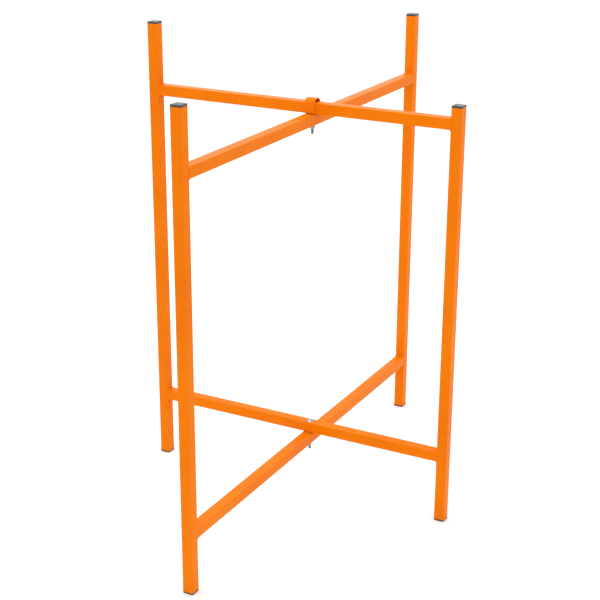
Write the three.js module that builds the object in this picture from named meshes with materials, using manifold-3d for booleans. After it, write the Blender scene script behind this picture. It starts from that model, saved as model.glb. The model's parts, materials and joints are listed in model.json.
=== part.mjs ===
// A folding steel trestle: two welded H-frames of square tube that cross at right angles when
// the stand is open, and turn about two bolts on one vertical axis.
// Millimetres, +Z up. The origin is on the floor, at the centre of the open footprint.
// The inner frame lies along X and the outer frame along Y.

import * as THREE from 'three';
import { mergeVertices } from 'three/addons/utils/BufferGeometryUtils.js';
import Module from 'manifold-3d';

const wasm = await Module();
wasm.setup();

// ---- driving dimensions ----

const TUBE = 22;                   // outer width of the square tube of every leg and rail
const TUBE_WALL = 1.5;
const TUBE_CORNER = 1.2;           // outer corner radius of the tube

const OUTER_REACH = 487;           // pivot axis to the middle of either outer leg
const INNER_REACH_LEFT = 369;      // pivot axis to the middle of the left inner leg
const INNER_REACH_RIGHT = 310;     // pivot axis to the middle of the right inner leg

const OUTER_LOWER_RAIL = 122;      // height of the middle of each outer rail
const OUTER_UPPER_RAIL = 818;

const OUTER_FRONT_TOP = 939;       // height of each leg, with its cap
const OUTER_BACK_TOP = 963;
const INNER_LEFT_TOP = 983;
const INNER_RIGHT_TOP = 878;

const CAP_FLANGE = 4.5;            // height of a top cap that stands above its tube
const FOOT_FLANGE = 3;             // height of a foot plug that stands below its tube
const CAP_CROWN = 0.8;             // rounding of a top cap's edges
const FOOT_CROWN = 0.4;            // rounding of a foot plug's edges
const PLUG_DEPTH = 14;             // length of a plug's stem inside the tube
const PLUG_FIN_COUNT = 3;          // gripping fins on the stem
const PLUG_FIN = 1.2;              // height of a fin
const FIRST_FIN = 0.6;             // flange to the first fin's middle, in fin pitches
const PLUG_STEM_CLEARANCE = 1.2;   // stem to the tube's inner wall, on each side
const SLIP_FIT = 0.2;              // fin to the tube's inner wall, on each side

const BOLT = 6;                    // thread diameter of the pivot bolts
const BOLT_HOLE = 6.8;             // round holes of the rails
const BOLT_LENGTH = 65;            // under the head
const BOLT_HEAD = 16.5;            // diameter of the round head
const BOLT_HEAD_HEIGHT = 3.6;
const BOLT_NECK = 6.2;             // width of the square neck that stops the bolt from turning
const BOLT_NECK_DEPTH = 4;
const BOLT_POINT = 0.8;            // chamfer at the bolt's end
const NECK_CLEARANCE = 0.3;        // square neck to its square hole, on each side

const NUT_ACROSS_FLATS = 10;
const NUT_HEIGHT = 8;              // of a lock nut, with its collar
const NUT_BEARING = 9.5;           // diameter of the flat face inside the corner chamfers
const NUT_COLLAR = 8.8;            // diameter of the round collar that grips the thread
const NUT_COLLAR_HEIGHT = 2.4;
const NUT_COLLAR_EDGE = 0.6;       // chamfer at the collar's end
const THREAD_CLEARANCE = 0.1;      // nut's bore to the bolt, on each side

const WASHER_HOLE = 6.4;
const FLAT_WASHER = 12;            // outer diameter of the steel washer under a nut
const FLAT_WASHER_THICKNESS = 1.6;
const SPACER_WASHER = 18;          // outer diameter of the nylon washer between two rails
const SPACER_WASHER_THICKNESS = 1;
const RUNNING_GAP = 0.2;           // above and below the nylon washer

const STRAP_WIDTH = 22;            // of the keeper strap, along the rail
const STRAP_THICKNESS = 2;
const STRAP_RISE = 6.5;            // rail's top to the middle of the strap's arch, inside

// How finely round shapes are divided.
const CORNER_STEPS = 2;            // per round corner of a tube
const CROWN_STEPS = 3;             // across a plug's rounded edge
const DOME_STEPS = 8;              // from rim to top of a bolt's head
const ARCH_STEPS = 24;             // along the strap's arch
const HOLE_SIDES = 24;
const TURNED_SIDES = 40;           // of bolts, washers and nuts

// ---- what follows from them ----

const HALF = TUBE / 2;
const PIVOT_X = (INNER_REACH_LEFT - INNER_REACH_RIGHT) / 2;
const RAIL_STEP = TUBE + SPACER_WASHER_THICKNESS + 2 * RUNNING_GAP;
const INNER_LOWER_RAIL = OUTER_LOWER_RAIL + RAIL_STEP;
const INNER_UPPER_RAIL = OUTER_UPPER_RAIL + RAIL_STEP;
const BORE = TUBE - 2 * TUBE_WALL;

// ---- colours ----

const ORANGE = { color: 0xf57a12, roughness: 0.45, metalness: 0 };
const BLACK = { color: 0x26272a, roughness: 0.55, metalness: 0 };
const ZINC = { color: 0xa9adb0, roughness: 0.35, metalness: 0.9 };
const NYLON = { color: 0xe6e3d8, roughness: 0.6, metalness: 0 };

// ---- booleans ----

// Turns a closed geometry into a solid that can be joined and cut.
function solid(geometry) {
  const bare = geometry.clone();
  bare.deleteAttribute('normal');
  bare.deleteAttribute('uv');
  const merged = mergeVertices(bare, 1e-4);
  return new wasm.Manifold(new wasm.Mesh({
    numProp: 3,
    vertProperties: new Float32Array(merged.attributes.position.array),
    triVerts: new Uint32Array(merged.index.array),
  }));
}

// Turns a solid back into a flat-shaded geometry.
function geometryOf(body) {
  const { vertProperties, triVerts } = body.getMesh();
  const indexed = new THREE.BufferGeometry();
  indexed.setAttribute('position', new THREE.BufferAttribute(vertProperties, 3));
  indexed.setIndex(new THREE.BufferAttribute(triVerts, 1));
  const geometry = indexed.toNonIndexed();
  geometry.computeVertexNormals();
  return geometry;
}

// ---- outlines and simple solids ----

// A square with round corners, centred on the origin.
function roundedSquare(width, radius) {
  const outline = new THREE.Shape();
  const middle = width / 2 - radius;
  outline.absarc(middle, middle, radius, 0, Math.PI / 2);
  outline.absarc(-middle, middle, radius, Math.PI / 2, Math.PI);
  outline.absarc(-middle, -middle, radius, Math.PI, Math.PI * 1.5);
  outline.absarc(middle, -middle, radius, Math.PI * 1.5, Math.PI * 2);
  return outline;
}

// A prism of an outline, from z = bottom to z = bottom + height.
function prism(outline, bottom, height, curveSegments = CORNER_STEPS) {
  const geometry = new THREE.ExtrudeGeometry(outline, {
    depth: height,
    bevelEnabled: false,
    curveSegments,
  });
  return geometry.translate(0, 0, bottom);
}

// A solid of revolution about Z, from [radius, height] pairs that run upwards.
function turned(profile) {
  const points = profile.map(([radius, height]) => new THREE.Vector2(radius, height));
  return new THREE.LatheGeometry(points, TURNED_SIDES).rotateX(Math.PI / 2);
}

// A square tube standing on z = 0.
function squareTube(length) {
  const outline = roundedSquare(TUBE, TUBE_CORNER);
  const bore = new THREE.Path();
  bore.moveTo(-BORE / 2, -BORE / 2);
  bore.lineTo(-BORE / 2, BORE / 2);
  bore.lineTo(BORE / 2, BORE / 2);
  bore.lineTo(BORE / 2, -BORE / 2);
  outline.holes.push(bore);
  return prism(outline, 0, length);
}

// ---- frame members ----

// A vertical cutter for a round hole, a tube's width long, with its middle at height z.
function roundHole(z) {
  return new THREE.CylinderGeometry(BOLT_HOLE / 2, BOLT_HOLE / 2, TUBE, HOLE_SIDES)
    .rotateX(Math.PI / 2)
    .translate(0, 0, z);
}

// A tube that lies along X between two legs, with one vertical bolt hole at x = 0.
function rail(fromX, toX, topHole) {
  const tube = squareTube(toX - fromX).rotateY(Math.PI / 2).translate(fromX, 0, 0);
  return geometryOf(solid(tube).subtract(solid(roundHole(-HALF))).subtract(solid(topHole)));
}

// The round top hole of an outer rail, and the inner rail's square one, which holds a bolt's neck.
const roundTopHole = roundHole(HALF);
const squareHoleWidth = BOLT_NECK + 2 * NECK_CLEARANCE;
const squareTopHole = new THREE.BoxGeometry(squareHoleWidth, squareHoleWidth, TUBE)
  .translate(0, 0, HALF);

// A strap bent over the upper inner rail. Its legs are welded to the sides of the rail, and
// its flat arch stands over the bolt's head. The rail's middle is at z = 0.
function keeperStrap() {
  const spring = HALF - TUBE_CORNER;
  const rise = STRAP_RISE + TUBE_CORNER;
  const outer = HALF + STRAP_THICKNESS;
  const outline = new THREE.Shape();
  outline.moveTo(-outer, -HALF);
  outline.lineTo(-HALF, -HALF);
  outline.lineTo(-HALF, spring);
  outline.absellipse(0, spring, HALF, rise, Math.PI, 0, true);
  outline.lineTo(HALF, -HALF);
  outline.lineTo(outer, -HALF);
  outline.lineTo(outer, spring);
  outline.absellipse(0, spring, outer, rise + STRAP_THICKNESS, 0, Math.PI);
  return prism(outline, -STRAP_WIDTH / 2, STRAP_WIDTH, ARCH_STEPS)
    .rotateX(Math.PI / 2)
    .rotateZ(Math.PI / 2);
}

// ---- plastic plugs ----

// A plug for a tube's end: a flange that stands up from z = 0 and a finned stem below it.
function tubePlug(flangeHeight, crown) {
  const outline = roundedSquare(TUBE - 2 * crown, TUBE_CORNER - crown);
  const flange = new THREE.ExtrudeGeometry(outline, {
    depth: flangeHeight - 2 * crown,
    bevelThickness: crown,
    bevelSize: crown,
    bevelSegments: CROWN_STEPS,
    curveSegments: CORNER_STEPS,
  }).translate(0, 0, crown);
  const stemWidth = BORE - 2 * PLUG_STEM_CLEARANCE;
  const finWidth = BORE - 2 * SLIP_FIT;
  const overlap = flangeHeight / 2;
  const stem = new THREE.BoxGeometry(stemWidth, stemWidth, PLUG_DEPTH + overlap)
    .translate(0, 0, (overlap - PLUG_DEPTH) / 2);
  const finPitch = PLUG_DEPTH / PLUG_FIN_COUNT;
  let plug = solid(flange).add(solid(stem));
  for (let i = 0; i < PLUG_FIN_COUNT; i += 1) {
    const fin = new THREE.BoxGeometry(finWidth, finWidth, PLUG_FIN)
      .translate(0, 0, -finPitch * (i + FIRST_FIN));
    plug = plug.add(solid(fin));
  }
  return geometryOf(plug);
}

// ---- pivot hardware ----

// A round-headed bolt that hangs from z = 0, the surface its head rests on.
function pivotBolt() {
  const headRadius = BOLT_HEAD / 2;
  const sphere = (headRadius ** 2 + BOLT_HEAD_HEIGHT ** 2) / (2 * BOLT_HEAD_HEIGHT);
  const rim = Math.asin(headRadius / sphere);
  const dome = [];
  for (let i = 0; i <= DOME_STEPS; i += 1) {
    const angle = rim * (1 - i / DOME_STEPS);
    const height = sphere * Math.cos(angle) - (sphere - BOLT_HEAD_HEIGHT);
    dome.push([sphere * Math.sin(angle), height]);
  }
  const shank = BOLT / 2;
  const round = turned([
    [0, -BOLT_LENGTH],
    [shank - BOLT_POINT, -BOLT_LENGTH],
    [shank, BOLT_POINT - BOLT_LENGTH],
    [shank, 0],
    ...dome,
  ]);
  const neckHeight = BOLT_NECK_DEPTH + BOLT_HEAD_HEIGHT / 2;
  const neck = new THREE.BoxGeometry(BOLT_NECK, BOLT_NECK, neckHeight)
    .translate(0, 0, BOLT_HEAD_HEIGHT / 2 - neckHeight / 2);
  return geometryOf(solid(round).add(solid(neck)));
}

// A flat washer from z = 0 upwards.
function washer(diameter, thickness) {
  const outer = diameter / 2;
  const inner = WASHER_HOLE / 2;
  return turned([
    [inner, 0],
    [outer, 0],
    [outer, thickness],
    [inner, thickness],
    [inner, 0],
  ]);
}

// A hexagon lock nut from z = 0 upwards: its collar is at the bottom, its bearing face on top.
function lockNut() {
  const cornerRadius = NUT_ACROSS_FLATS / 2 / Math.cos(Math.PI / 6);
  const bearing = NUT_BEARING / 2;
  const collar = NUT_COLLAR / 2;
  const chamfer = (cornerRadius - bearing) * Math.tan(Math.PI / 6);
  const bore = BOLT / 2 + THREAD_CLEARANCE;
  const hexagon = new THREE.CylinderGeometry(cornerRadius, cornerRadius, NUT_HEIGHT, 6)
    .rotateX(Math.PI / 2)
    .translate(0, 0, NUT_HEIGHT / 2);
  const envelope = turned([
    [bore, 0],
    [collar - NUT_COLLAR_EDGE, 0],
    [collar, NUT_COLLAR_EDGE],
    [collar, NUT_COLLAR_HEIGHT],
    [bearing, NUT_COLLAR_HEIGHT],
    [cornerRadius, NUT_COLLAR_HEIGHT + chamfer],
    [cornerRadius, NUT_HEIGHT - chamfer],
    [bearing, NUT_HEIGHT],
    [bore, NUT_HEIGHT],
    [bore, 0],
  ]);
  return geometryOf(solid(hexagon).intersect(solid(envelope)));
}

// ---- assembly ----

function piece(name, geometry, finish, x = 0, y = 0, z = 0) {
  const mesh = new THREE.Mesh(geometry, new THREE.MeshStandardMaterial(finish));
  mesh.name = name;
  mesh.position.set(x, y, z);
  return mesh;
}

// A leg with its foot plug and top cap. The frame's own X points from the pivot to the leg.
function leg(name, x, top) {
  const tubeTop = top - CAP_FLANGE;
  const footPlug = tubePlug(FOOT_FLANGE, FOOT_CROWN);
  const foot = piece(`${name}_foot_plug`, footPlug, BLACK, x, 0, FOOT_FLANGE);
  foot.rotation.x = Math.PI;
  return [
    piece(`${name}_leg`, squareTube(tubeTop - FOOT_FLANGE), ORANGE, x, 0, FOOT_FLANGE),
    piece(`${name}_top_cap`, tubePlug(CAP_FLANGE, CAP_CROWN), BLACK, x, 0, tubeTop),
    foot,
  ];
}

// The two rails of a frame, between its legs.
function rails(name, reachBack, reachAhead, lower, upper, topHole) {
  const geometry = rail(HALF - reachBack, reachAhead - HALF, topHole);
  return [
    piece(`${name}_lower_rail`, geometry, ORANGE, 0, 0, lower),
    piece(`${name}_upper_rail`, geometry.clone(), ORANGE, 0, 0, upper),
  ];
}

// The bolt, nut and washers of one crossing. The outer rail's middle is at height z.
function crossing(name, z) {
  const boltSeat = z + RAIL_STEP + HALF;
  const spacerSeat = z + HALF + RUNNING_GAP;
  const washerSeat = z - HALF - FLAT_WASHER_THICKNESS;
  const spacer = washer(SPACER_WASHER, SPACER_WASHER_THICKNESS);
  const flat = washer(FLAT_WASHER, FLAT_WASHER_THICKNESS);
  return [
    piece(`${name}_pivot_bolt`, pivotBolt(), ZINC, 0, 0, boltSeat),
    piece(`${name}_spacer_washer`, spacer, NYLON, 0, 0, spacerSeat),
    piece(`${name}_flat_washer`, flat, ZINC, 0, 0, washerSeat),
    piece(`${name}_nut`, lockNut(), ZINC, 0, 0, washerSeat - NUT_HEIGHT),
  ];
}

const outerFrame = new THREE.Group();
outerFrame.rotation.z = Math.PI / 2;
outerFrame.add(
  ...leg('outer_front', -OUTER_REACH, OUTER_FRONT_TOP),
  ...leg('outer_back', OUTER_REACH, OUTER_BACK_TOP),
  ...rails('outer', OUTER_REACH, OUTER_REACH, OUTER_LOWER_RAIL, OUTER_UPPER_RAIL, roundTopHole),
);

const innerFrame = new THREE.Group();
innerFrame.add(
  ...leg('inner_left', -INNER_REACH_LEFT, INNER_LEFT_TOP),
  ...leg('inner_right', INNER_REACH_RIGHT, INNER_RIGHT_TOP),
  ...rails('inner', INNER_REACH_LEFT, INNER_REACH_RIGHT, INNER_LOWER_RAIL, INNER_UPPER_RAIL,
    squareTopHole),
  piece('keeper_strap', keeperStrap(), ORANGE, 0, 0, INNER_UPPER_RAIL),
);

const hardware = new THREE.Group();
hardware.add(
  ...crossing('upper', OUTER_UPPER_RAIL),
  ...crossing('lower', OUTER_LOWER_RAIL),
);

const trestle = new THREE.Group();
trestle.position.x = PIVOT_X;
trestle.add(outerFrame, innerFrame, hardware);

export default trestle;
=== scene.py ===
"""The looks of a folding steel trestle: two orange H-frames of square tube on one vertical pivot.

Metres, +Z up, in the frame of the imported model. Each refined piece is built to the box of the
CAD node that it stands for and rides on that node's body.
"""

import json
import math

import bmesh
import bpy
from mathutils import Matrix, Vector, noise

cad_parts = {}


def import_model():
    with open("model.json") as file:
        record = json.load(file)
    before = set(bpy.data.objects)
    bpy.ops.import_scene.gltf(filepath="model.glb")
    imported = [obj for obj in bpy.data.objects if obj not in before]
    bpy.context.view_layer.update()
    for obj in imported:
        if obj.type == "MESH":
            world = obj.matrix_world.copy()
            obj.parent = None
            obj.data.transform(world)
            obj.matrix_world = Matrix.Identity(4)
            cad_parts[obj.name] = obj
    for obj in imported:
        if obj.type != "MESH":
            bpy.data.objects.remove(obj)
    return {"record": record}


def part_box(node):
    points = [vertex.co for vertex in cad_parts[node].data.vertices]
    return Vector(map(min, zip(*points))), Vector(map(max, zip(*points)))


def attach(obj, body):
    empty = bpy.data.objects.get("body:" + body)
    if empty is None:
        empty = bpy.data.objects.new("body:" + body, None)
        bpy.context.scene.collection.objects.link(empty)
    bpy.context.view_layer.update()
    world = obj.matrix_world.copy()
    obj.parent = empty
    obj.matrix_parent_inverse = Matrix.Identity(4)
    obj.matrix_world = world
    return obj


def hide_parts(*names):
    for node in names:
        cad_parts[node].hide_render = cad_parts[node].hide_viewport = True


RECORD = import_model()["record"]
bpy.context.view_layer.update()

MM = 0.001
PIVOT = Vector(RECORD["behaviour"]["joints"][0]["pos_m"]).to_2d()
BODY_OF = {node: body for body, nodes in RECORD["behaviour"]["bodies"].items() for node in nodes}
SLOT_OF = {part["node"]: part["material_slot"] for part in RECORD["subparts"]}

# ---- dimensions that the boxes of the nodes don't give, in metres ----

TUBE_WALL = 1.5 * MM
TUBE_CORNER = 1.2 * MM             # outer corner radius of the square tube
TUBE_BORE_CORNER = 0.6 * MM
TUBE_DEBURR = 0.25 * MM            # rounding of the sawn ends
TUBE_STEP = 40 * MM                # length of a mesh segment along a tube

TUBE_END_LOOP = 2 * MM             # distance of the last mesh loop from a tube's end
CORNER_WEAR = 2.4                  # how fast wear grows round a tube's corner

AROUND = 48                        # mesh points round a bolt, a washer or a hole
BOLT_HOLE = 6.8 * MM
NECK_HOLE = 6.8 * MM               # square hole for the neck of a bolt
CUTTER_MARGIN = 1 * MM             # how far a cutter reaches past what it cuts

PLUG_CORNER = 1.2 * MM
PLUG_STEM = 16.6 * MM              # width of a plug's stem between its fins
PLUG_FIN_TIP = 18.6 * MM
PLUG_FIN_COUNT = 3
PLUG_FIN_START = 0.6               # place of the first fin, as a share of the fins' pitch
PLUG_FIN_HALF = 0.6 * MM           # half the thickness of a fin at its root
PLUG_FIN_TIP_TOP = 0.25 * MM
PLUG_FIN_TIP_BOTTOM = -0.05 * MM
PLUG_CAVITY = 13.0 * MM            # the stem is a cup, open at its inner end
PLUG_CAVITY_DRAFT = 0.6 * MM
PLUG_FLOOR = 1.0 * MM              # from the leg's end to the bottom of the cup
PLUG_FLOOR_CENTRE = 1.0 * MM       # width of the small face in the middle of that bottom
PLUG_LEAD = 1.2 * MM               # chamfer at the stem's end
PLUG_SEAT_STEP = 0.3 * MM          # chamfer under the flange
PLUG_SEAT_HEIGHT = 0.15 * MM
PLUG_CROWN_SHARES = (0.1, 0.35, 0.6, 0.8)  # rings of the crown, as shares of its width
PLUG_EDGE_STEPS = 4
PLUG_CORNER_SHARE = 0.12           # largest corner of a small ring, as a share of its width
TOP_CAP_CROWN = 0.3 * MM
TOP_CAP_EDGE = 0.9 * MM
FOOT_PLUG_EDGE = 0.5 * MM

THREAD_PITCH = 1.0 * MM
THREAD_CREST = 2.97 * MM           # radii of an M6 thread
THREAD_ROOT = 2.4 * MM
THREAD_RISES = (0.0, 0.2, 0.52, 0.66)  # the profile's corners, as shares of the pitch
THREAD_MARGIN = 0.05 * MM
THREAD_LENGTH = 30 * MM
BOLT_HEAD_EDGE = 0.35 * MM         # thickness of the head's rim
BOLT_HEAD_STEPS = 11
BOLT_HEAD_CENTRE = 0.03            # first ring of the dome, as a share of its angle
BOLT_RIM_TOP = 0.55                # shares of the rim's height
BOLT_RIM_BOTTOM = 0.25
BOLT_NECK = 6.2 * MM               # width of the square neck
BOLT_NECK_DEPTH = 4.0 * MM
BOLT_NECK_TAPER = 0.5 * MM
BOLT_END_RADIUS = 2.2 * MM

NUT_AROUND = 72                    # mesh points round a nut
NUT_BEARING = 0.95                 # width of the bearing face, as a share of the flats
NUT_CORNER_REACH = 1.145           # reach of the corners, as a share of that of the flats
NUT_CHAMFER = math.radians(30)
NUT_ROUND_OVER = 0.12 * MM
NUT_BORE_GAP = 0.13 * MM           # between the thread's crest and the bore
NUT_COLLAR = 8.8 * MM              # diameter of the lock nut's collar
NUT_COLLAR_HEIGHT = 2.4 * MM
NUT_COLLAR_SQUEEZE = 0.25 * MM     # how far its three sides are pressed in
NUT_COLLAR_EDGE = 0.5 * MM
NUT_COLLAR_BREAK = 0.3             # middle of the collar's edge, as a share of it
NUT_MOUTH = 0.4 * MM               # chamfer of the bore

WASHER_HOLE = 6.4 * MM
WASHER_GAP = 0.02 * MM             # left above a washer, so that no faces coincide
WASHER_ROUNDING = {"flat": 0.5 * MM, "spacer": 0.25 * MM}

STRAP_THICKNESS = 2.0 * MM
STRAP_EDGE = 0.35 * MM             # rounding of the strap's edges
STRAP_SIDE_STEPS = 6
STRAP_ARCH_STEPS = 32

WELD_AROUND = 12                   # mesh points round a weld bead
WELD_RIPPLE = 1.5 * MM             # length of one ripple along a weld bead
WELD_WANDER = 6 * MM               # length over which a bead's width drifts
WELD_UNEVENNESS = 0.08
WELD_WAIST = 0.95                  # a bead between two ripples, as a share of its radius
WELD_END = 0.4                     # in path steps, keeps the ends of a bead from a point
WELD_TAPER_POWER = 0.4
WELD_PATH_STEP = 0.35 * MM
WELD_CORNER_STEPS = 12
WELD_SEED_STEP = 7                 # between the seeds of a rail's two beads
RAIL_BEAD = 1.45 * MM              # radius of the beads at the rails' ends
RAIL_BEAD_LIFT = 0.25 * MM         # out of the rail's flat top and bottom
RAIL_BEAD_SINK = 0.75 * MM         # into the grooves at its sides
RAIL_BEAD_FORWARD = 0.35 * MM      # along the rail, away from the leg, at top and bottom
RAIL_BEAD_BACK = 0.45 * MM         # towards the leg, at the sides
STRAP_BEAD = 1.0 * MM              # radius of the beads beside the strap
STRAP_BEAD_STEPS = 36
STRAP_BEAD_OUT = 0.2 * MM          # its axis lies this far outside the rail's side
STRAP_BEAD_START = 1.5 * MM        # above the strap's lower end
STRAP_BEAD_END = 4 * MM            # below the rail's top
STRAP_BEAD_SEED = 40

# ---- angles in degrees over which an edge shades sharp ----

PLAIN_SHARP = 35
WELD_SHARP = 80
SMOOTH_SHARP = 50                  # strap and plugs
BOLT_SHARP = 28
NUT_SHARP = 25

# ---- colours ----

PAINT_DEEP = (0.71, 0.150, 0.0004)
PAINT_BRIGHT = (0.77, 0.180, 0.0007)
PAINT_GRAIN = (0.60, 0.12, 0.001)
PAINT_THIN = (0.55, 0.09, 0.004)
PAINT_CHIP = (0.40, 0.20, 0.10)
PLASTIC_DARK = (0.009, 0.011, 0.015)
PLASTIC_LIGHT = (0.016, 0.019, 0.025)
PLASTIC_SCUFF = (0.11, 0.11, 0.11)
ZINC_DARK = (0.22, 0.23, 0.24)
ZINC_LIGHT = (0.40, 0.40, 0.39)
ZINC_SPOT = (0.12, 0.12, 0.12)
NYLON_WARM = (0.68, 0.66, 0.58)
NYLON_PALE = (0.78, 0.76, 0.70)
FLOOR_WARM = (0.86, 0.86, 0.855)
FLOOR_PLAIN = (0.88, 0.88, 0.88)

# ---- studio: distances in metres, powers in watts ----

FLOOR_REACH = 60
FLOOR_DROP = 0.2 * MM              # below the feet, so that the two don't coincide
SKY_STRENGTH = 1.2
LIGHT_TARGET = (0, 0, 0.45)
LIGHTS = (                         # name, place, size, power
    ("top_light", (-0.4, 0.2, 3.4), 2.6, 44),
    ("left_light", (-2.8, -2.2, 2.2), 2.0, 5),
    ("right_light", (3.2, 0.6, 1.8), 2.0, 3),
)

# ---- camera ----

CAMERA_PLACE = Vector((1.2731, -2.4083, 1.4256))
CAMERA_YAW = math.radians(-27.79)  # from +Y towards +X
CAMERA_PITCH = math.radians(20.11)  # downwards
CAMERA_ROLL = math.radians(-0.31)
CAMERA_LENS = 82.99                # mm
CAMERA_SENSOR = 36                 # mm


def make_camera():
    """The main camera, which looks at the stand from its front right and a little above."""
    forward = Vector((
        math.sin(CAMERA_YAW) * math.cos(CAMERA_PITCH),
        math.cos(CAMERA_YAW) * math.cos(CAMERA_PITCH),
        -math.sin(CAMERA_PITCH),
    ))
    level_right = Vector((math.cos(CAMERA_YAW), -math.sin(CAMERA_YAW), 0))
    level_down = forward.cross(level_right)
    right = math.cos(CAMERA_ROLL) * level_right + math.sin(CAMERA_ROLL) * level_down
    up = right.cross(forward)
    data = bpy.data.cameras.new("camera")
    data.lens = CAMERA_LENS
    data.sensor_width = CAMERA_SENSOR
    camera = bpy.data.objects.new("camera", data)
    turn = Matrix((right, up, -forward)).transposed().to_4x4()
    camera.matrix_world = Matrix.Translation(CAMERA_PLACE) @ turn
    bpy.context.scene.collection.objects.link(camera)
    bpy.context.scene.camera = camera


# ---- rings of points, which every piece is skinned over ----


def rectangle_ring(width, height, radius, steps=4):
    """A rectangle with round corners, centred on the origin, anticlockwise."""
    points = []
    for quarter in range(4):
        start = quarter * math.pi / 2
        side_x = math.copysign(width / 2 - radius, math.cos(start + math.pi / 4))
        side_y = math.copysign(height / 2 - radius, math.sin(start + math.pi / 4))
        for step in range(steps + 1):
            angle = start + step / steps * math.pi / 2
            points.append((side_x + radius * math.cos(angle), side_y + radius * math.sin(angle)))
    return points


def square_ring(width, radius, steps=5):
    return rectangle_ring(width, width, radius, steps)


def polar_ring(radius_at, count):
    """Points round the origin at even angles. radius_at gives the radius at an angle."""
    angles = [2 * math.pi * i / count for i in range(count)]
    return [(radius_at(a) * math.cos(a), radius_at(a) * math.sin(a)) for a in angles]


def circle_ring(radius, count):
    return polar_ring(lambda angle: radius, count)


def soft_square_ring(width, count, power=14):
    """A square with slightly round corners, at even angles."""

    def radius_at(angle):
        spread = abs(math.cos(angle)) ** power + abs(math.sin(angle)) ** power
        return width / 2 / spread ** (1 / power)

    return polar_ring(radius_at, count)


def lifted(ring, height):
    """A flat ring at a height."""
    return [Vector((x, y, height)) for x, y in ring]


# ---- meshes ----


def loft(rings, closed=False):
    """Vertices and faces skinned over rings of equally many points. An open loft is capped at
    both ends, and a closed one runs back to its first ring."""
    count = len(rings[0])
    vertices = [point for ring in rings for point in ring]
    faces = []
    spans = len(rings) if closed else len(rings) - 1
    for span in range(spans):
        here = span * count
        there = (span + 1) % len(rings) * count
        for i in range(count):
            j = (i + 1) % count
            faces.append((here + i, here + j, there + j, there + i))
    if not closed:
        faces.append(tuple(range(count)))
        faces.append(tuple(range(len(vertices) - count, len(vertices))))
    return vertices, faces


def joined(parts):
    """One list of vertices and one of faces from several (vertices, faces) pairs."""
    vertices = []
    faces = []
    for part_vertices, part_faces in parts:
        start = len(vertices)
        vertices += part_vertices
        faces += [tuple(start + i for i in face) for face in part_faces]
    return vertices, faces


def moved(part, place):
    """(vertices, faces) moved by a matrix."""
    vertices, faces = part
    return [place @ vertex for vertex in vertices], faces


def make_object(name, part, sharp_angle=PLAIN_SHARP):
    """An object from vertices and faces, smooth but for edges over the sharp angle."""
    vertices, faces = part
    mesh = bpy.data.meshes.new(name)
    mesh.from_pydata(vertices, [], faces)
    tidy = bmesh.new()
    tidy.from_mesh(mesh)
    bmesh.ops.recalc_face_normals(tidy, faces=tidy.faces)
    tidy.to_mesh(mesh)
    tidy.free()
    shade(mesh, sharp_angle)
    made = bpy.data.objects.new(name, mesh)
    bpy.context.scene.collection.objects.link(made)
    return made


def shade(mesh, sharp_angle):
    mesh.polygons.foreach_set("use_smooth", [True] * len(mesh.polygons))
    mesh.set_sharp_from_angle(angle=math.radians(sharp_angle))


def keep_flats_flat(piece):
    """Weights the normals by face area, so that flat walls shade flat beside round edges."""
    weighted = piece.modifiers.new("flat_walls", "WEIGHTED_NORMAL")
    weighted.weight = 100
    weighted.keep_sharp = True


def cut(piece, cutter_part):
    """Cuts a closed mesh out of a piece for good."""
    cutter = make_object("cutter", cutter_part)
    boolean = piece.modifiers.new("cut", "BOOLEAN")
    boolean.object = cutter
    boolean.solver = "EXACT"
    evaluated = piece.evaluated_get(bpy.context.evaluated_depsgraph_get())
    mesh = bpy.data.meshes.new_from_object(evaluated)
    piece.modifiers.clear()
    old = piece.data
    piece.data = mesh
    bpy.data.meshes.remove(old)
    bpy.data.objects.remove(cutter)
    mesh.name = piece.name


def mark_edges(piece, edge_at):
    """Stores how exposed each point is, from 0 to 1, for the wear in the materials."""
    exposure = piece.data.attributes.new("edge", "FLOAT", "POINT")
    exposure.data.foreach_set("value", [edge_at(v.co) for v in piece.data.vertices])


def add_detail(piece, body, slot):
    """Finishes a piece that no CAD node stands for, such as a weld bead."""
    piece.data.materials.append(MATERIALS[slot])
    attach(piece, body)


def stand_for(piece, node):
    """Finishes a piece that replaces a CAD node."""
    add_detail(piece, BODY_OF[node], SLOT_OF[node])
    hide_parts(node)


# ---- shader nodes ----


def add(tree, kind, inputs=None, **settings):
    """A shader node. An input is given by its name or number, as a value or as a socket."""
    made = tree.nodes.new("ShaderNode" + kind)
    for name, value in settings.items():
        setattr(made, name, value)
    for name, value in (inputs or {}).items():
        if isinstance(value, bpy.types.NodeSocket):
            tree.links.new(value, made.inputs[name])
        else:
            made.inputs[name].default_value = value
    return made


def noise_at(tree, place, scale, detail=2.0, roughness=0.5):
    """Noise from 0 to 1. scale is in features per metre."""
    inputs = {"Vector": place, "Scale": scale, "Detail": detail, "Roughness": roughness}
    return add(tree, "TexNoise", inputs).outputs[0]


def remap(tree, value, from_low, from_high, to_low=0.0, to_high=1.0):
    inputs = {"Value": value, "From Min": from_low, "From Max": from_high,
              "To Min": to_low, "To Max": to_high}
    return add(tree, "MapRange", inputs).outputs["Result"]


def multiply(tree, first, second):
    return add(tree, "Math", {0: first, 1: second}, operation="MULTIPLY").outputs[0]


def blend(tree, factor, first, second):
    """A colour between two colours, which are sockets or RGB values."""

    def colour(value):
        return value if isinstance(value, bpy.types.NodeSocket) else (*value, 1.0)

    inputs = {0: factor, 6: colour(first), 7: colour(second)}
    return add(tree, "Mix", inputs, data_type="RGBA").outputs[2]


def bump(tree, height, depth, normal=None):
    """A bump of a real depth in metres."""
    inputs = {"Height": height, "Distance": depth, "Strength": 1.0}
    if normal is not None:
        inputs["Normal"] = normal
    return add(tree, "Bump", inputs).outputs["Normal"]


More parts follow.
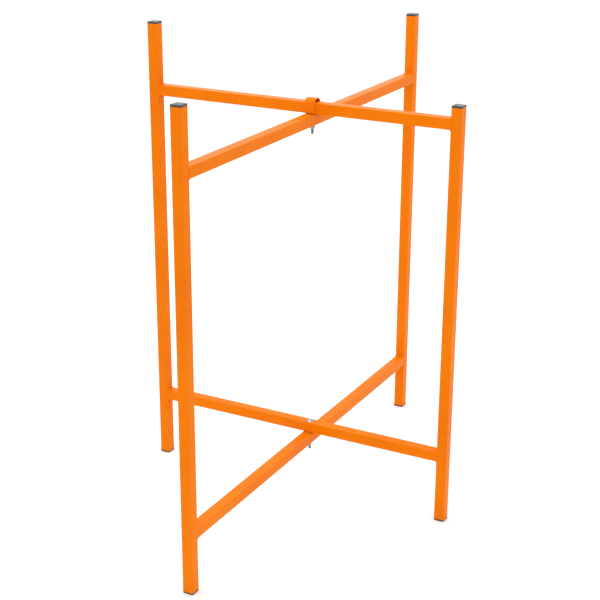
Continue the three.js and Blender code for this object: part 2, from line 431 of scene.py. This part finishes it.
def new_material(name):
    """A node material, its tree, its shader and the place on the piece."""
    made = bpy.data.materials.new(name)
    made.use_nodes = True
    tree = made.node_tree
    shader = tree.nodes["Principled BSDF"]
    place = add(tree, "TexCoord").outputs["Object"]
    return made, tree, shader, place


def exposed_edge(tree):
    """How exposed the surface is, from the pieces' own edge attribute."""
    return add(tree, "Attribute", attribute_name="edge").outputs["Fac"]


# ---- materials ----


def orange_paint():
    """Semi-gloss powder coat: orange peel, drifting tone, thin on the corners, a few chips."""
    made, tree, shader, place = new_material("orange_paint")
    edge = exposed_edge(tree)

    drift = remap(tree, noise_at(tree, place, 7, 3), 0.3, 0.7)
    tone = blend(tree, drift, PAINT_DEEP, PAINT_BRIGHT)
    grain = remap(tree, noise_at(tree, place, 1400, 1), 0.35, 0.65, 0, 0.1)
    tone = blend(tree, grain, tone, PAINT_GRAIN)
    patchy = remap(tree, noise_at(tree, place, 60, 3), 0.5, 0.75)
    thin = multiply(tree, multiply(tree, edge, patchy), 0.15)
    tone = blend(tree, thin, tone, PAINT_THIN)
    specks = remap(tree, noise_at(tree, place, 140, 2), 0.745, 0.76)
    chip = multiply(tree, specks, remap(tree, edge, 0.55, 0.9))
    tone = blend(tree, chip, tone, PAINT_CHIP)
    tree.links.new(tone, shader.inputs["Base Color"])

    roughness = remap(tree, noise_at(tree, place, 35, 4), 0.3, 0.7, 0.24, 0.34)
    tree.links.new(roughness, shader.inputs["Roughness"])
    shader.inputs["IOR"].default_value = 1.12

    peel = bump(tree, noise_at(tree, place, 380, 1, 0.4), 0.03 * MM)
    fine = bump(tree, noise_at(tree, place, 2200, 1), 0.004 * MM, peel)
    dent = bump(tree, chip, -0.06 * MM, fine)
    tree.links.new(dent, shader.inputs["Normal"])
    return made


def black_plastic():
    """Moulded plastic: fine grain, faint flow marks and sinks, pale scuffs on its edges."""
    made, tree, shader, place = new_material("black_plastic")
    edge = exposed_edge(tree)

    flow = remap(tree, noise_at(tree, place, 90, 3), 0.3, 0.7)
    tone = blend(tree, flow, PLASTIC_DARK, PLASTIC_LIGHT)
    scuff = multiply(tree, edge, remap(tree, noise_at(tree, place, 500, 3), 0.5, 0.75))
    tone = blend(tree, multiply(tree, scuff, 0.5), tone, PLASTIC_SCUFF)
    tree.links.new(tone, shader.inputs["Base Color"])

    shader.inputs["IOR"].default_value = 1.58
    roughness = remap(tree, noise_at(tree, place, 250, 3), 0.3, 0.7, 0.22, 0.36)
    tree.links.new(roughness, shader.inputs["Roughness"])

    grain = bump(tree, noise_at(tree, place, 1600, 2), 0.012 * MM)
    sink = bump(tree, noise_at(tree, place, 110, 1), 0.05 * MM, grain)
    tree.links.new(sink, shader.inputs["Normal"])
    return made


def zinc_steel():
    """Dull zinc plating: cloudy tone and roughness, dark spots, fine pits and rub marks."""
    made, tree, shader, place = new_material("zinc_steel")
    cloud = remap(tree, noise_at(tree, place, 180, 4), 0.35, 0.65)
    tone = blend(tree, cloud, ZINC_DARK, ZINC_LIGHT)
    spots = remap(tree, noise_at(tree, place, 700, 3), 0.6, 0.75, 0, 0.6)
    tone = blend(tree, spots, tone, ZINC_SPOT)
    tree.links.new(tone, shader.inputs["Base Color"])
    shader.inputs["Metallic"].default_value = 1.0

    roughness = remap(tree, noise_at(tree, place, 320, 4), 0.3, 0.7, 0.16, 0.36)
    tree.links.new(roughness, shader.inputs["Roughness"])
    pits = bump(tree, noise_at(tree, place, 1800, 3), 0.008 * MM)
    rubs = add(tree, "Mapping", {"Vector": place, "Scale": (400.0, 6000.0, 6000.0)})
    streaks = bump(tree, noise_at(tree, rubs.outputs[0], 1, 2), 0.003 * MM, pits)
    tree.links.new(streaks, shader.inputs["Normal"])
    return made


def pale_nylon():
    """Natural nylon: milky and slightly see-through, with a fine grain."""
    made, tree, shader, place = new_material("pale_nylon")
    milk = remap(tree, noise_at(tree, place, 160, 3), 0.3, 0.7)
    tone = blend(tree, milk, NYLON_WARM, NYLON_PALE)
    tree.links.new(tone, shader.inputs["Base Color"])
    roughness = remap(tree, noise_at(tree, place, 400, 3), 0.3, 0.7, 0.4, 0.6)
    tree.links.new(roughness, shader.inputs["Roughness"])
    shader.inputs["Subsurface Weight"].default_value = 0.25
    shader.inputs["Subsurface Radius"].default_value = (1.2 * MM, 1.0 * MM, 0.8 * MM)
    shader.inputs["Subsurface Scale"].default_value = 1.0
    grain = bump(tree, noise_at(tree, place, 1200, 3), 0.01 * MM)
    tree.links.new(grain, shader.inputs["Normal"])
    return made


def floor_paint():
    """Matt, nearly white floor."""
    made, tree, shader, place = new_material("floor")
    tone = blend(tree, noise_at(tree, place, 3, 3), FLOOR_WARM, FLOOR_PLAIN)
    tree.links.new(tone, shader.inputs["Base Color"])
    shader.inputs["Roughness"].default_value = 0.9
    shader.inputs["Specular IOR Level"].default_value = 0.0
    return made


# ---- frame members ----


def along_longest(node):
    """The matrix from a member's own frame, with +Z along it from 0, to the row frame, the
    member's length and its width."""
    low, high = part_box(node)
    size = high - low
    axis = max(range(3), key=lambda i: size[i])
    direction = Vector([float(i == axis) for i in range(3)])
    start = (low + high) / 2 - direction * size[axis] / 2
    turn = direction.to_track_quat("Z", "Y").to_matrix().to_4x4()
    return Matrix.Translation(start) @ turn, size[axis], size[axis - 1]


def tube_part(length, width):
    """A square tube that stands on the origin, with deburred ends and a hollow bore."""
    steps = max(2, round(length / TUBE_STEP))
    heights = [TUBE_DEBURR, TUBE_END_LOOP]
    heights += [length * i / steps for i in range(1, steps)]
    heights += [length - TUBE_END_LOOP, length - TUBE_DEBURR]
    outside = square_ring(width, TUBE_CORNER)
    sawn = square_ring(width - 2 * TUBE_DEBURR, TUBE_CORNER)
    bore = square_ring(width - 2 * TUBE_WALL, TUBE_BORE_CORNER)
    rings = [lifted(sawn, 0)]
    rings += [lifted(outside, height) for height in heights]
    rings += [lifted(sawn, length), lifted(bore, length), lifted(bore, 0)]
    return loft(rings, closed=True)


def tube_exposure(place, length, width):
    """The wear map of a tube: its four long corners and the rims of its ends."""
    inverse = place.inverted()

    def edge_at(point):
        x, y, z = inverse @ point
        corner = min(abs(x), abs(y)) - (width / 2 - TUBE_CORNER)
        inside = max(abs(x), abs(y)) < width / 2 - TUBE_WALL / 2 and corner <= 0
        if inside:
            return 0.0
        roundness = max(0.0, min(1.0, CORNER_WEAR * corner / TUBE_CORNER))
        rim = 1.0 if min(z, length - z) <= TUBE_DEBURR * 1.01 else 0.0
        return max(roundness, rim)

    return edge_at


def make_tube(node, holes=()):
    """The refined tube of a leg or rail, with vertical holes cut in it."""
    place, length, width = along_longest(node)
    piece = make_object(f"{node}_tube", moved(tube_part(length, width), place))
    if holes:
        cut(piece, joined(holes))
        shade(piece.data, PLAIN_SHARP)
    mark_edges(piece, tube_exposure(place, length, width))
    keep_flats_flat(piece)
    stand_for(piece, node)


def pivot_holes(node, top_ring):
    """Cutters for the holes of a rail on the pivot axis: a round one below, top_ring above."""
    low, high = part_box(node)
    middle = (low.z + high.z) / 2
    place = Matrix.Translation((*PIVOT, 0))
    bottom_ring = circle_ring(BOLT_HOLE / 2, AROUND)
    lower = loft([lifted(bottom_ring, low.z - CUTTER_MARGIN), lifted(bottom_ring, middle)])
    upper = loft([
        lifted(top_ring, middle + CUTTER_MARGIN),
        lifted(top_ring, high.z + CUTTER_MARGIN),
    ])
    return [moved(lower, place), moved(upper, place)]


def make_rails_and_legs():
    """The tube of every leg and rail."""
    top_rings = {
        "outer": circle_ring(BOLT_HOLE / 2, AROUND),
        "inner": soft_square_ring(NECK_HOLE, AROUND),
    }
    for node in SLOT_OF:
        if node.endswith("_leg"):
            make_tube(node)
        if node.endswith("_rail"):
            make_tube(node, pivot_holes(node, top_rings[node.split("_")[0]]))


# ---- weld beads ----


def bead_part(path, radius, seed, closed):
    """A weld bead: a rippled rope along a path of (point, outward, along) frames."""
    rings = []
    travelled = 0.0
    for index, (point, outward, along) in enumerate(path):
        if index:
            travelled += (point - path[index - 1][0]).length
        wander = noise.noise(Vector((travelled / WELD_WANDER, seed, 0.5)))
        ripple = abs(math.sin(math.pi * travelled / WELD_RIPPLE + wander))
        taper = 1.0
        if not closed:
            share = (index + WELD_END) / (len(path) - 1 + 2 * WELD_END)
            taper = math.sin(math.pi * share) ** WELD_TAPER_POWER
        size = radius * taper * (WELD_WAIST + WELD_UNEVENNESS * ripple + WELD_UNEVENNESS * wander)
        side = along.cross(outward)
        rings.append([
            point + size * (outward * math.cos(angle) + side * math.sin(angle))
            for angle in (2 * math.pi * i / WELD_AROUND for i in range(WELD_AROUND))
        ])
    return loft(rings, closed=closed)


def rail_end_path(place, height, width, inward):
    """The path of the bead round a rail's end. It stands over the flat top and bottom of the
    rail and sinks into the grooves beside the leg's round corners."""
    ring = square_ring(width, TUBE_CORNER, WELD_CORNER_STEPS)
    corners = len(ring)
    dense = []
    for i in range(corners):
        first = Vector(ring[i])
        second = Vector(ring[(i + 1) % corners])
        pieces = max(1, round((second - first).length / WELD_PATH_STEP))
        dense += [first.lerp(second, k / pieces) for k in range(pieces)]
    path = []
    axis = place.to_3x3() @ Vector((0, 0, inward))
    for i, flat in enumerate(dense):
        tangent = dense[(i + 1) % len(dense)] - dense[i - 1]
        normal = Vector((tangent.y, -tangent.x, 0)).normalized()
        outward = place.to_3x3() @ normal
        upright = abs(outward.z)
        point = place @ Vector((*flat, height))
        point += outward * (upright * RAIL_BEAD_LIFT - (1 - upright) * RAIL_BEAD_SINK)
        point += axis * (upright * RAIL_BEAD_FORWARD - (1 - upright) * RAIL_BEAD_BACK)
        path.append((point, outward, (place.to_3x3() @ tangent.to_3d()).normalized()))
    return path


def make_rail_welds(node, seed):
    """Both beads of a rail, where its ends meet the legs."""
    place, length, width = along_longest(node)
    start_path = rail_end_path(place, 0, width, 1)
    end_path = rail_end_path(place, length, width, -1)
    beads = [
        bead_part(start_path, RAIL_BEAD, seed, True),
        bead_part(end_path, RAIL_BEAD, seed + WELD_SEED_STEP, True),
    ]
    welds = make_object(f"{node}_welds", joined(beads), WELD_SHARP)
    add_detail(welds, BODY_OF[node], SLOT_OF[node])


def make_strap_welds():
    """Four short upright beads between the strap's edges and the sides of the rail."""
    low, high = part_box("keeper_strap")
    centre = (low + high) / 2
    bottom = low.z + STRAP_BEAD_START
    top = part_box("inner_upper_rail")[1].z - STRAP_BEAD_END
    upwards = Vector((0, 0, 1))
    beads = []
    for x_side in (-1, 1):
        for y_side in (-1, 1):
            x = centre.x + x_side * (high.x - low.x) / 2
            y = centre.y + y_side * ((high.y - low.y) / 2 - STRAP_THICKNESS + STRAP_BEAD_OUT)
            outward = Vector((x_side, y_side, 0)).normalized()
            heights = [
                bottom + (top - bottom) * i / STRAP_BEAD_STEPS
                for i in range(STRAP_BEAD_STEPS + 1)
            ]
            path = [(Vector((x, y, height)), outward, upwards) for height in heights]
            seed = STRAP_BEAD_SEED + 2 * x_side + y_side
            beads.append(bead_part(path, STRAP_BEAD, seed, False))
    welds = make_object("keeper_strap_welds", joined(beads), WELD_SHARP)
    add_detail(welds, "inner_frame", "orange_paint")


# ---- keeper strap ----


def make_strap():
    """A strip bent over the rail: a rounded rectangle swept up one side, over a flat arch and
    down the other side."""
    low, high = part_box("keeper_strap")
    width = high.x - low.x
    middle_x = (low.x + high.x) / 2
    middle_y = (low.y + high.y) / 2
    reach = (high.y - low.y - STRAP_THICKNESS) / 2
    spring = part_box("inner_upper_rail")[1].z - TUBE_CORNER
    rise = high.z - STRAP_THICKNESS / 2 - spring
    side_heights = [
        low.z + (spring - low.z) * i / STRAP_SIDE_STEPS for i in range(STRAP_SIDE_STEPS)
    ]
    stations = [(Vector((middle_y - reach, height)), math.pi) for height in side_heights]
    for i in range(STRAP_ARCH_STEPS + 1):
        turn = math.pi * (1 - i / STRAP_ARCH_STEPS)
        point = Vector((middle_y + reach * math.cos(turn), spring + rise * math.sin(turn)))
        facing = math.atan2(reach * math.sin(turn), rise * math.cos(turn))
        stations.append((point, facing))
    stations += [(Vector((middle_y + reach, height)), 0.0) for height in reversed(side_heights)]
    section = rectangle_ring(width, STRAP_THICKNESS, STRAP_EDGE)
    end_section = rectangle_ring(
        width - 2 * STRAP_EDGE, STRAP_THICKNESS - 2 * STRAP_EDGE, STRAP_EDGE / 2
    )
    rings = []
    for index, (point, angle) in enumerate(stations):
        is_end = index in (0, len(stations) - 1)
        outline = end_section if is_end else section
        if index in (1, len(stations) - 2):
            point = Vector((point.x, low.z + STRAP_EDGE))
        rings.append([
            Vector((
                middle_x + across,
                point.x + through * math.cos(angle),
                point.y + through * math.sin(angle),
            ))
            for across, through in outline
        ])
    strap = make_object("keeper_strap_bent", loft(rings), SMOOTH_SHARP)
    half = width / 2 - STRAP_EDGE
    mark_edges(strap, lambda point: float(abs(point.x - middle_x) > half))
    keep_flats_flat(strap)
    stand_for(strap, "keeper_strap")


# ---- plastic plugs ----


def plug_part(width, flange, stem, crown, edge_radius):
    """A plug with its flange above z = 0 and its finned, hollow stem below."""
    profile = []
    for share in PLUG_CROWN_SHARES:
        profile.append((share * (width - 2 * edge_radius), flange - crown * share ** 2))
    for step in range(PLUG_EDGE_STEPS + 1):
        angle = step / PLUG_EDGE_STEPS * math.pi / 2
        profile.append((
            width - 2 * edge_radius * (1 - math.sin(angle)),
            flange - crown - edge_radius * (1 - math.cos(angle)),
        ))
    profile += [(width, PLUG_SEAT_HEIGHT), (width - PLUG_SEAT_STEP, 0), (PLUG_STEM, 0)]
    pitch = stem / PLUG_FIN_COUNT
    for fin in range(PLUG_FIN_COUNT):
        middle = -pitch * (fin + PLUG_FIN_START)
        profile += [
            (PLUG_STEM, middle + PLUG_FIN_HALF),
            (PLUG_FIN_TIP, middle + PLUG_FIN_TIP_TOP),
            (PLUG_FIN_TIP, middle + PLUG_FIN_TIP_BOTTOM),
            (PLUG_STEM, middle - PLUG_FIN_HALF),
        ]
    profile += [
        (PLUG_STEM, -stem + PLUG_LEAD / 2),
        (PLUG_STEM - PLUG_LEAD, -stem),
        (PLUG_CAVITY, -stem),
        (PLUG_CAVITY - PLUG_CAVITY_DRAFT, -PLUG_FLOOR),
        (PLUG_FLOOR_CENTRE, -PLUG_FLOOR),
    ]
    rings = []
    for ring_width, height in profile:
        corner = min(PLUG_CORNER, ring_width * PLUG_CORNER_SHARE)
        rings.append(lifted(square_ring(ring_width, corner), height))
    return loft(rings)


def make_plugs():
    """The top cap and the foot plug of every leg."""
    for leg in [node for node in SLOT_OF if node.endswith("_leg")]:
        frame_side = leg.removesuffix("_leg")
        leg_low, leg_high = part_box(leg)
        make_plug(f"{frame_side}_top_cap", leg_high.z, 1, TOP_CAP_CROWN, TOP_CAP_EDGE)
        make_plug(f"{frame_side}_foot_plug", leg_low.z, -1, 0.0, FOOT_PLUG_EDGE)


def make_plug(node, seat, up, crown, edge_radius):
    """A plug that sits on the end of its leg at height seat. up is 1 at the top, -1 below."""
    low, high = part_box(node)
    middle = (low + high) / 2
    width = high.x - low.x
    flange = high.z - seat if up > 0 else seat - low.z
    stem = seat - low.z if up > 0 else high.z - seat
    turn = Matrix.Identity(4) if up > 0 else Matrix.Rotation(math.pi, 4, "X")
    place = Matrix.Translation((middle.x, middle.y, seat)) @ turn
    part = moved(plug_part(width, flange, stem, crown, edge_radius), place)
    plug = make_object(f"{node}_moulded", part, SMOOTH_SHARP)
    rim = width / 2 - edge_radius

    def edge_at(point):
        beyond = max(abs(point.x - middle.x), abs(point.y - middle.y)) - rim
        raised = (point.z - seat) * up - flange + 3 * edge_radius
        return 1.0 if beyond > 0 and 0 < raised else 0.0

    mark_edges(plug, edge_at)
    keep_flats_flat(plug)
    stand_for(plug, node)


# ---- pivot hardware ----


def thread_part(top, bottom):
    """A thread from z = top down to z = bottom on a round bar, as one helical strip whose turns
    share their edges. It fades out of the plain shank and runs off over the end chamfer."""
    levels = (THREAD_ROOT, THREAD_ROOT, THREAD_CREST, THREAD_CREST)
    per_turn = len(THREAD_RISES)
    start = top - THREAD_MARGIN
    turns = round((start - bottom - THREAD_MARGIN) / THREAD_PITCH) - 1
    pitch = (start - bottom - THREAD_MARGIN) / (turns + 1)
    rows = turns * per_turn

    def vertex(row, column):
        turn, step = divmod(row, per_turn)
        along = turn + THREAD_RISES[step] + column / AROUND
        height = start - along * pitch
        depth = min(1.0, along)
        radius = THREAD_CREST + depth * (levels[step] - THREAD_CREST)
        chamfer = BOLT_END_RADIUS + height - bottom
        radius = min(radius, chamfer)
        angle = 2 * math.pi * column / AROUND
        return Vector((radius * math.cos(angle), radius * math.sin(angle), height))

    number = {}
    vertices = []
    for row in range(rows + per_turn + 1):
        for column in range(AROUND if row <= rows else 1):
            number[row, column] = len(vertices)
            vertices.append(vertex(row, column))
    for row in range(rows + 1):
        number[row, AROUND] = number[row + per_turn, 0]
    faces = []
    for row in range(rows):
        for column in range(AROUND):
            faces.append((
                number[row, column], number[row, column + 1],
                number[row + 1, column + 1], number[row + 1, column],
            ))
    upper = len(vertices)
    vertices += lifted(circle_ring(THREAD_CREST, AROUND), top)
    lower = len(vertices)
    vertices += lifted(circle_ring(BOLT_END_RADIUS, AROUND), bottom)
    for column in range(AROUND):
        after = (column + 1) % AROUND
        faces.append((upper + column, upper + after, number[0, column + 1], number[0, column]))
        faces.append((
            number[rows, column], number[rows, column + 1],
            lower + after, lower + column,
        ))
    faces.append((upper, *(number[row, 0] for row in range(per_turn + 1))))
    faces.append((lower, *(number[row, 0] for row in range(rows, rows + per_turn + 1))))
    faces.append(tuple(range(lower, lower + AROUND)))
    return vertices, faces


def bolt_part(length, head_radius, head_height):
    """A coach bolt that hangs from z = 0: domed head, square neck, plain shank and thread."""
    dome = head_height - BOLT_HEAD_EDGE
    sphere = (head_radius ** 2 + dome ** 2) / (2 * dome)
    rim = math.asin((head_radius - BOLT_HEAD_EDGE) / sphere)
    rings = []
    for step in range(BOLT_HEAD_STEPS + 1):
        angle = rim * (BOLT_HEAD_CENTRE + (1 - BOLT_HEAD_CENTRE) * step / BOLT_HEAD_STEPS)
        height = head_height - sphere * (1 - math.cos(angle))
        rings.append(lifted(circle_ring(sphere * math.sin(angle), AROUND), height))
    rim_height = head_height - sphere * (1 - math.cos(rim))
    break_width = rim_height * BOLT_RIM_BOTTOM
    neck = soft_square_ring(BOLT_NECK, AROUND)
    rings += [
        lifted(circle_ring(head_radius, AROUND), rim_height * BOLT_RIM_TOP),
        lifted(circle_ring(head_radius, AROUND), break_width),
        lifted(circle_ring(head_radius - break_width, AROUND), 0),
        lifted(neck, 0),
        lifted(neck, -BOLT_NECK_DEPTH + BOLT_NECK_TAPER),
        lifted(circle_ring(THREAD_CREST, AROUND), -BOLT_NECK_DEPTH),
    ]
    vertices, faces = loft(rings)
    faces.pop()                    # the lower cap, where the plain shank goes on
    shank_start = len(vertices) - AROUND
    thread_vertices, thread_faces = thread_part(THREAD_LENGTH - length, -length)
    offset = len(vertices)
    vertices += thread_vertices
    faces += [tuple(offset + i for i in face) for face in thread_faces]
    thread_ring = offset + len(thread_vertices) - 2 * AROUND
    for column in range(AROUND):
        after = (column + 1) % AROUND
        faces.append((
            shank_start + column, shank_start + after,
            thread_ring + after, thread_ring + column,
        ))
    return vertices, faces


def nut_part(across_flats, height, bore_radius):
    """A hexagon lock nut from z = 0 upwards: a squeezed round collar, then the hexagon with
    chamfered corners, and its bearing face on top."""
    bearing = across_flats / 2 * NUT_BEARING
    slope = math.tan(NUT_CHAMFER)

    def plain(radius, z):
        return lifted(circle_ring(radius, NUT_AROUND), z)

    def collar(inset, z):
        def radius_at(angle):
            squeeze = NUT_COLLAR_SQUEEZE * (1 + math.cos(3 * angle)) / 2
            return NUT_COLLAR / 2 - inset - squeeze

        return lifted(polar_ring(radius_at, NUT_AROUND), z)

    def hexagon(lift, shrink=0.0):
        ring = []
        for i in range(NUT_AROUND):
            angle = 2 * math.pi * i / NUT_AROUND
            from_flat = (angle % (math.pi / 3)) - math.pi / 6
            radius = across_flats / 2 * min(1 / math.cos(from_flat), NUT_CORNER_REACH)
            z = lift(max(0.0, radius - bearing) * slope)
            radius -= shrink
            ring.append(Vector((radius * math.cos(angle), radius * math.sin(angle), z)))
        return ring

    rings = [
        plain(bore_radius, NUT_MOUTH),
        plain(bore_radius + NUT_MOUTH, 0),
        collar(NUT_COLLAR_EDGE, 0),
        collar(NUT_COLLAR_EDGE * NUT_COLLAR_BREAK, NUT_COLLAR_EDGE * NUT_COLLAR_BREAK),
        collar(0, NUT_COLLAR_EDGE),
        collar(0, NUT_COLLAR_HEIGHT),
        plain(bearing, NUT_COLLAR_HEIGHT),
        hexagon(lambda drop: NUT_COLLAR_HEIGHT + drop, NUT_ROUND_OVER),
        hexagon(lambda drop: NUT_COLLAR_HEIGHT + drop + NUT_ROUND_OVER),
        hexagon(lambda drop: height - drop - NUT_ROUND_OVER),
        hexagon(lambda drop: height - drop, NUT_ROUND_OVER),
        plain(bearing, height),
        plain(bore_radius + NUT_MOUTH, height),
        plain(bore_radius, height - NUT_MOUTH),
    ]
    return loft(rings, closed=True)


def washer_part(outer, inner, thickness, rounding):
    """A stamped washer from z = 0 upwards, with one rounded edge and one crisp one."""
    profile = [
        (inner, 0.1 * thickness),
        (inner + 0.1 * thickness, 0),
        (outer - rounding, 0),
        (outer - 0.3 * rounding, 0.3 * rounding),
        (outer, rounding),
        (outer, thickness * 0.92),
        (outer - 0.08 * thickness, thickness),
        (inner + 0.1 * thickness, thickness),
        (inner, 0.9 * thickness),
    ]
    rings = [lifted(circle_ring(radius, AROUND), height) for radius, height in profile]
    return loft(rings, closed=True)


def put_on_pivot(name, part, height, node, sharp_angle):
    """Stands a piece of hardware on the pivot axis at a height, in place of its node."""
    placed = moved(part, Matrix.Translation((*PIVOT, height)))
    stand_for(make_object(name, placed, sharp_angle), node)


def make_hardware():
    """The bolt, nut and washers of both crossings."""
    for crossing in ("upper", "lower"):
        bolt_node = f"{crossing}_pivot_bolt"
        low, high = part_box(bolt_node)
        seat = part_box(f"inner_{crossing}_rail")[1].z
        bolt = bolt_part(seat - low.z, (high.x - low.x) / 2, high.z - seat)
        put_on_pivot(f"{crossing}_coach_bolt", bolt, seat, bolt_node, BOLT_SHARP)

        nut_node = f"{crossing}_nut"
        low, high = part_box(nut_node)
        flats = min(high.x - low.x, high.y - low.y)
        nut = nut_part(flats, high.z - low.z, THREAD_CREST + NUT_BORE_GAP)
        put_on_pivot(f"{crossing}_lock_nut", nut, low.z, nut_node, NUT_SHARP)

        for kind, rounding in WASHER_ROUNDING.items():
            node = f"{crossing}_{kind}_washer"
            low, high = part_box(node)
            thickness = high.z - low.z - WASHER_GAP
            washer = washer_part((high.x - low.x) / 2, WASHER_HOLE / 2, thickness, rounding)
            put_on_pivot(f"{node}_ring", washer, low.z, node, PLAIN_SHARP)


# ---- studio ----


def make_floor():
    """A plain floor, far wider than any view of it."""
    signs = ((-1, -1), (1, -1), (1, 1), (-1, 1))
    corners = [Vector((x * FLOOR_REACH, y * FLOOR_REACH, -FLOOR_DROP)) for x, y in signs]
    floor = make_object("floor", (corners, [(0, 1, 2, 3)]))
    floor.data.materials.append(floor_paint())


def make_light(name, place, size, power):
    """A large square area light that faces the stand."""
    data = bpy.data.lights.new(name, "AREA")
    data.shape = "SQUARE"
    data.size = size
    data.energy = power
    light = bpy.data.objects.new(name, data)
    light.location = place
    facing = (Vector(LIGHT_TARGET) - Vector(place)).to_track_quat("-Z", "Y")
    light.rotation_mode = "QUATERNION"
    light.rotation_quaternion = facing
    bpy.context.scene.collection.objects.link(light)


def make_studio():
    """A white studio: an even sky and three large soft lights."""
    world = bpy.data.worlds.new("studio")
    world.use_nodes = True
    sky = world.node_tree.nodes["Background"]
    sky.inputs["Color"].default_value = (1.0, 1.0, 1.0, 1.0)
    sky.inputs["Strength"].default_value = SKY_STRENGTH
    bpy.context.scene.world = world
    bpy.context.scene.view_settings.view_transform = "Standard"
    for name, place, size, power in LIGHTS:
        make_light(name, place, size, power)


# ---- the whole scene ----

make_camera()

MATERIALS = {
    "orange_paint": orange_paint(),
    "black_plastic": black_plastic(),
    "zinc_steel": zinc_steel(),
    "pale_nylon": pale_nylon(),
}

make_rails_and_legs()
for rail_number, rail_node in enumerate(
    ("outer_lower_rail", "outer_upper_rail", "inner_lower_rail", "inner_upper_rail")
):
    make_rail_welds(rail_node, seed=rail_number)
make_strap()
make_strap_welds()
make_plugs()
make_hardware()
make_floor()
make_studio()
